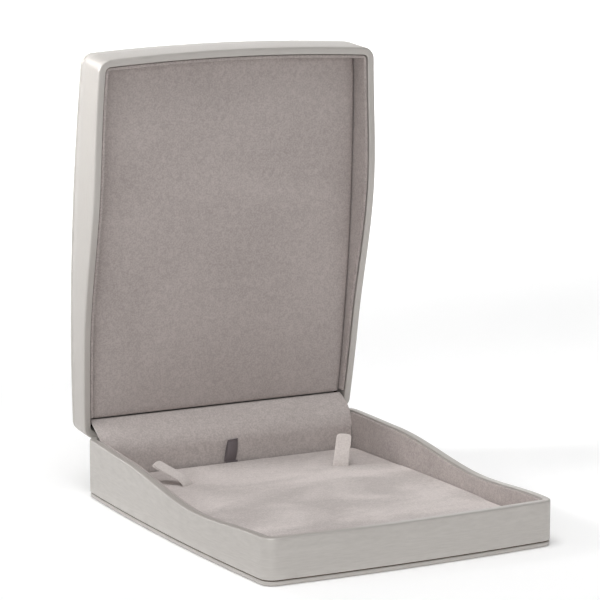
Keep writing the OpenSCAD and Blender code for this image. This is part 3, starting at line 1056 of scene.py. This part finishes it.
def tab_ply(root, tip, root_side, tip_side, offset, round_r):
    """One ply of a neck tab: it leaves its slit upright, bends over and twists towards its tip."""
    length = float(np.linalg.norm(tip - root))
    line = bezier([root - (0, 0, 1.9), root + (0, 0, 0.12 * length), root + 0.5 * (tip - root), tip], 40)
    steps = running(line)
    across = []
    for step in steps:
        share = min(step / (0.6 * steps[-1]), 1.0)
        side = (1 - share) * root_side + share * tip_side
        flare = 0.4 * math.exp(-step / 1.3)
        width = end_width(steps[-1] - step, TAB_W, round_r) + flare
        across.append(side / np.linalg.norm(side) * width)
    face = unit_rows(np.cross(across, np.gradient(line, axis=0)))
    spread = offset * (0.45 + 0.55 * steps / steps[-1])
    obj = strap("ply", line + face * spread[:, None], across, TAB_T)
    return subdivided(obj, 2)


def neck_tab(side, body, length, lean, roll):
    """A two-ply suede tab that leans away from its slit."""
    root = np.array([side * TAB_X, TAB_Y, FOLD_Z])
    fold = plan_way(-side * TAB_TURN)
    lean_way = np.array([-fold[1], fold[0], 0.0])
    a = math.radians(lean)
    tip = root + length * (math.sin(a) * lean_way + math.cos(a) * np.array([0, 0, 1.0]))
    root_side = plan_way(-side * SLIT_TURN)
    rolled = Matrix.Rotation(math.radians(roll), 3, Vector(tip - root).normalized())
    tip_side = np.array(rolled @ Vector(fold))
    front = tab_ply(root, tip, root_side, tip_side, -PLY_OFF, 2.0)
    back = tab_ply(root, tip - 0.02 * (tip - root) + 0.35 * fold, root_side, tip_side, PLY_OFF, 2.2)
    obj = joined(f"suede_tab_{body}", [front, back])
    return placed(obj, body, ["neck_" + body], "pad_suede", TAB, sharp=80.0)


def ribbon_path():
    """The folded ribbon's loop, as (y, z): up the bowed front, round the fold and down the back."""
    foot = -1.2
    rise = RIBBON_UP - foot
    front = [(-0.2 - RIBBON_BOW * math.sin(math.pi * s) ** 1.2 * (1 - 0.3 * s), foot + rise * s)
             for s in np.linspace(0, 1, 18)]
    fold = [(-0.33 * math.cos(a), RIBBON_UP + 0.05 + 0.4 * math.sin(a))
            for a in np.radians(np.linspace(10, 170, 9))]
    back = [(0.26 + 0.35 * math.sin(math.pi * s), RIBBON_UP - rise * s) for s in np.linspace(0, 1, 14)]
    return front + fold + back


def pull_ribbon():
    """The satin pull ribbon, folded over itself behind the pad and leaning a little."""
    path, across = [], []
    for y, z in ribbon_path():
        share = min(max(z / 11.0, 0.0), 1.0)
        turn = math.radians(RIBBON_TWIST * share)
        x = RIBBON_LEAN * (z - 5.5) - y * math.sin(turn)
        path.append((x, RIBBON_Y + y * math.cos(turn), FOLD_Z + z))
        across.append(RIBBON_W / 2 * np.array([math.cos(turn), math.sin(turn), 0.0]))
    obj = strap("satin_pull", path, across, RIBBON_T)
    return placed(obj, "ribbon", ["pull_ribbon"], "ribbon_satin", RIBBON, sharp=60.0)


# Hinge cover and springs


def flexed(obj, start, end):
    """Bakes a piece's placing into its mesh; it does not bend it. The two (y, z) points are not used."""
    start, end = [Vector((0, y, z)) * MM for y, z in (start, end)]
    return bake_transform(obj)


def lid_point(from_back, height):
    """(y, z) of a point of the open lid, from its place in the shut lid."""
    point = OPENED @ Vector((0, BACK_Y - from_back, height))
    return np.array([point.y, point.z])


COVER_END = lid_point(9.2, 36.3)


def cover_path():
    """The suede hinge cover's line in section, from the tray floor to the lid's panel."""
    start = np.array([[COVER_Y, 4.6 + 17.5 * s] for s in np.linspace(0, 1, 12, endpoint=False)])
    bend = bezier([(COVER_Y, 22.1), (COVER_Y, 31.1), COVER_END - [7.5, 3.2], COVER_END], 26)
    return np.vstack([start, bend])


def hinge_cover():
    """The sheet of suede that hides the hinge, shaped as it lies with the lid open."""
    path = cover_path()
    along = unit_rows(np.gradient(path, axis=0))
    face = np.column_stack([-along[:, 1], along[:, 0]])
    xs = np.linspace(-COVER_W / 2, COVER_W / 2, 76)
    ripple = 0.22 * np.sin(xs * 0.071 + 0.6) + 0.12 * np.sin(xs * 0.19 + 2.0)
    h = COVER_T / 2
    verts = []
    for i, ((y, z), (fy, fz)) in enumerate(zip(path, face)):
        share = i / (len(path) - 1)
        slack = math.sin(math.pi * share) ** 2
        spread = 1 + 2 * COVER_FLARE / COVER_W * min(max((z - 22.0) / 12.0, 0.0), 1.0)
        for side in (-h, h):
            for x, wave in zip(xs, ripple):
                d = side + wave * slack
                verts.append((x * spread, y + fy * d, z + fz * d))
    n = len(xs)
    faces = []
    for i in range(len(path) - 1):
        a, b = i * 2 * n, (i + 1) * 2 * n
        for j in range(n - 1):
            faces.append((a + j, a + j + 1, b + j + 1, b + j))
            faces.append((a + n + j, b + n + j, b + n + j + 1, a + n + j + 1))
        faces.append((a, b, b + n, a + n))
        faces.append((a + n - 1, a + 2 * n - 1, b + 2 * n - 1, b + n - 1))
    last = (len(path) - 1) * 2 * n
    for j in range(n - 1):
        faces.append((j, j + n, j + n + 1, j + 1))
        faces.append((last + j, last + j + 1, last + j + n + 1, last + j + n))
    obj = object_from("suede_hinge_cover", verts, faces)
    outward(obj)
    placed(obj, None, ["hinge_cover"], "lining_suede", COVER, sharp=60.0)
    flexed(obj, (COVER_Y, 20.0), COVER_END)
    return obj


def spring_path():
    """The bowed strip spring in section: up the back wall, round the joint and into the lid."""
    off, bend_r, leg = WALL_T + 0.65, 4.2, 8.0
    a = math.radians(LID_OPEN)
    y = BACK_Y - off
    reach = off - bend_r
    centre = np.array([y + bend_r, HINGE_Z + (reach - reach * math.cos(a)) / math.sin(a)])
    turns = np.radians(np.linspace(180, 180 - LID_OPEN, 14))
    bow = centre + bend_r * np.column_stack([np.cos(turns), np.sin(turns)])
    up = np.column_stack([np.full(6, y), np.linspace(HINGE_Z - 11, centre[1], 7)[:-1]])
    lead = np.array([math.sin(a), math.cos(a)])
    out = bow[-1] + np.linspace(0, leg, 6)[1:, None] * lead
    return np.vstack([up, bow, out])


def snap_spring(side, node):
    """A spring-steel strip with rounded ends, that snaps the lid open or shut."""
    path = spring_path()
    steps = running(path)
    total = steps[-1]
    half = [4.0 - 1.2 * math.exp(-min(s, total - s) / 0.8) for s in steps]
    x = side * (HINGE_LEN / 2 - 4.0)
    line = [(x, y, z) for y, z in path]
    obj = strap(node + "_strip", line, [(w, 0.0, 0.0) for w in half], 0.4)
    placed(obj, None, [node], "hinge_steel", STEEL, sharp=50.0)
    return flexed(obj, path[5], path[-5])


def brad_row(body, height):
    """Four brads that fix a hinge leaf to its wall."""
    obj = object_from(body + "_brads", [(0, 0, 0)], [])
    grown(obj, BRADS, BRASS)
    obj.data.transform(Matrix.Translation((0, BACK_Y - WALL_T / 2, height)))
    outward(obj)
    return placed(obj, body, ["hinge_brads_" + body], "brad_brass", sharp=30.0)


# The CAD nodes that stay


def paint_cad_nodes():
    """Finishes for the hidden CAD pieces, whose meshes stay as they are."""
    finishes = {
        "base_frame": WOOD_AND_GROOVE_SHADE, "lid_frame": WOOD_AND_GROOVE_SHADE, "pad_rest": CARD, "pad_board": CARD,
        "lid_panel_board": CARD, "pad_foam": FOAM, "lid_panel_foam": FOAM,
        "tab_anchor_left": TAB, "tab_anchor_right": TAB, "ribbon_anchor": RIBBON,
        "hinge_leaf_base": STEEL, "hinge_leaf_lid": STEEL, "hinge_pin": STEEL,
    }
    for node, material in finishes.items():
        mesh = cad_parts[node].data
        mesh.materials.clear()
        mesh.materials.append(material)


# Stage


def floor():
    """A plain pale floor with a soft sweep up behind."""
    material = Finish("studio_floor", Specular_IOR_Level=0.1, Emission_Strength=0.12)
    soft = material.noise(material.place, 3.0, 2.0)
    material.coloured(soft, rgb(0.93, 0.93, 0.93), rgb(0.96, 0.96, 0.96))
    material.rough(soft, 0.9, 1.0)
    xs = (-6000, 6000)
    ys = [-6000, 2500] + [2500 + 1500 * math.sin(a) for a in np.radians(np.linspace(10, 90, 9))]
    zs = [0, 0] + [1500 - 1500 * math.cos(a) for a in np.radians(np.linspace(10, 90, 9))]
    ys.append(4000)
    zs.append(7000)
    verts = [(x, y, z) for y, z in zip(ys, zs) for x in xs]
    faces = [(2 * i, 2 * i + 1, 2 * i + 3, 2 * i + 2) for i in range(len(ys) - 1)]
    obj = object_from("studio_floor", verts, faces)
    obj.data.transform(TO_METRES)
    obj.data.materials.append(material.material)
    shaded(obj)


def area_light(name, place, aim, size, power, spread=180.0):
    light = bpy.data.lights.new(name, "AREA")
    light.shape = "RECTANGLE"
    light.size, light.size_y = size
    light.energy = power
    light.spread = math.radians(spread)
    obj = bpy.data.objects.new(name, light)
    obj.location = place
    obj.rotation_euler = (Vector(aim) - Vector(place)).to_track_quat("-Z", "Y").to_euler()
    bpy.context.scene.collection.objects.link(obj)


def studio_light():
    world = bpy.data.worlds.new("studio")
    world.use_nodes = True
    sky = Bench(world.node_tree)
    way = sky.node("ShaderNodeTexCoord").outputs["Generated"]
    aside = sky.node("ShaderNodeSeparateXYZ", {0: way}).outputs[0]
    glow = sky.ranged(aside, -0.9, 0.9, 0.5, 0.2)
    sky.feed(world.node_tree.nodes["Background"].inputs["Strength"], glow)
    world.node_tree.nodes["Background"].inputs["Color"].default_value = rgb(1.0, 1.0, 1.0)
    bpy.context.scene.world = world
    bpy.context.scene.view_settings.view_transform = "Standard"
    area_light("key_left", (-0.85, 0.34, 0.6), (-0.03, 0.13, 0.36), (0.3, 0.3), 0.75, 38.0)
    area_light("soft_top", (-0.45, -0.45, 2.2), (0, 0, 0), (1.4, 1.4), 27.0)
    area_light("fill_front", (-0.55, -0.95, 0.35), (-0.04, 0, 0.06), (0.5, 0.5), 1.8)
    area_light("back_edge", (-0.7, 1.8, 1.0), (-0.05, 0, 0.1), (0.7, 0.5), 4.0)
    area_light("middle_floor", (0.75, 1.45, 0.7), (0.75, 1.45, 0), (2.2, 1.3), 7.5, 95.0)
    area_light("far_floor", (1.8, 3.9, 1.6), (1.8, 3.9, 0), (4.0, 3.0), 75.0, 112.0)


def camera():
    """The three-quarter view from the front left, a little above the case."""
    turn, rise, distance = math.radians(-28.46), math.radians(10.088), 1.2261
    target = Vector((-122.234, -211.052, 159.758)) * MM
    back = Vector((math.sin(turn) * math.cos(rise), -math.cos(turn) * math.cos(rise), math.sin(rise)))
    lens = bpy.data.cameras.new("camera")
    lens.lens = 172.5
    lens.shift_x = -0.0006
    lens.sensor_width = 36.0
    lens.clip_end = 50.0
    obj = bpy.data.objects.new("camera", lens)
    obj.location = target + back * distance
    obj.rotation_euler = back.to_track_quat("Z", "Y").to_euler()
    bpy.context.scene.collection.objects.link(obj)
    bpy.context.scene.camera = obj


def corners(box):
    return [[float(x) for x in corner] for corner in box]


camera()
studio_light()
floor()
covering("base", BOARD_T + GROOVE_H, 0.0, -1, [hinge_room(), leaf_room(CLOSED_H)])
covering("lid", CLOSED_H - BOARD_T - GROOVE_H, RIM_GAP, 1, [leaf_room(HINGE_Z + LEAF_LEN)])
covered_board("base", 0.0, BOARD_T, 1.5, 0.5)
covered_board("lid", CLOSED_H - BOARD_T, CLOSED_H, 0.45, 1.0)
linings("base", LINING_END_Y, LINING_FOOT, -LINING_DROP, -1)
linings("lid", BACK_Y - PANEL_BACK, PANEL_FOOT, RIM_GAP + LINING_DROP, 1)
tray_pad()
lid_panel()
neck_tab(-1, "tab_left", 21.0, 62.0, -9.0)
neck_tab(1, "tab_right", 17.0, 24.0, 0.0)
pull_ribbon()
hinge_cover()
snap_spring(-1, "snap_spring_left")
snap_spring(1, "snap_spring_right")
brad_row("base", HINGE_Z - BRAD_REACH)
brad_row("lid", HINGE_Z + BRAD_REACH)
paint_cad_nodes()
